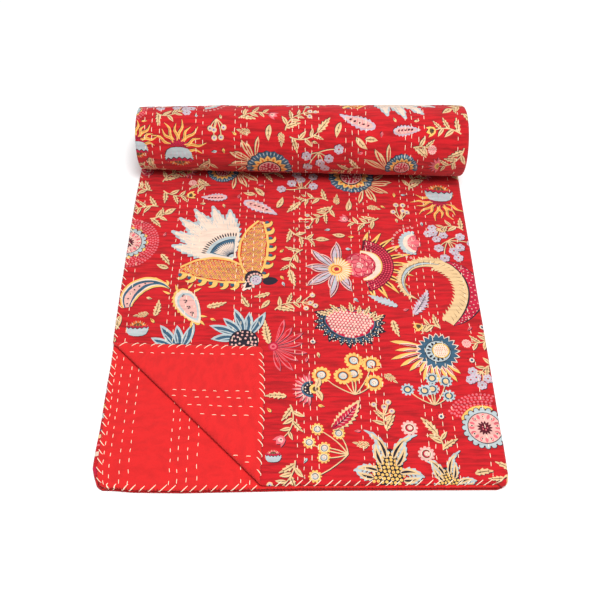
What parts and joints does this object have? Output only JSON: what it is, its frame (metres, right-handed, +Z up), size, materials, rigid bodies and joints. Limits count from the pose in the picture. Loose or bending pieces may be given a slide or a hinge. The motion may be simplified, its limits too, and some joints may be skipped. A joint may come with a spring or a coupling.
{
  "type": "folded kantha quilt",
  "caption": "Stitched cotton quilt with a floral face and a plain back, folded lengthwise, its far end rolled up and one near corner turned back.",
  "frame": {"origin": "middle of the underside's box, on the surface that the quilt lies on", "axes": "+X across the folded quilt to its folded edge, +Y from the near stitched edge to the roll, +Z up"},
  "size_m": [0.5746, 0.6952, 0.1325],
  "materials": {
    "printed_cotton": "soft matte cotton, red with a many-coloured floral print",
    "plain_cotton": "soft matte cotton, plain red",
    "stitch_thread": "cream cotton thread"
  },
  "bodies": {
    "root": {"printed_face": "printed_cotton", "plain_back": "plain_cotton"}
  },
  "joints": []
}
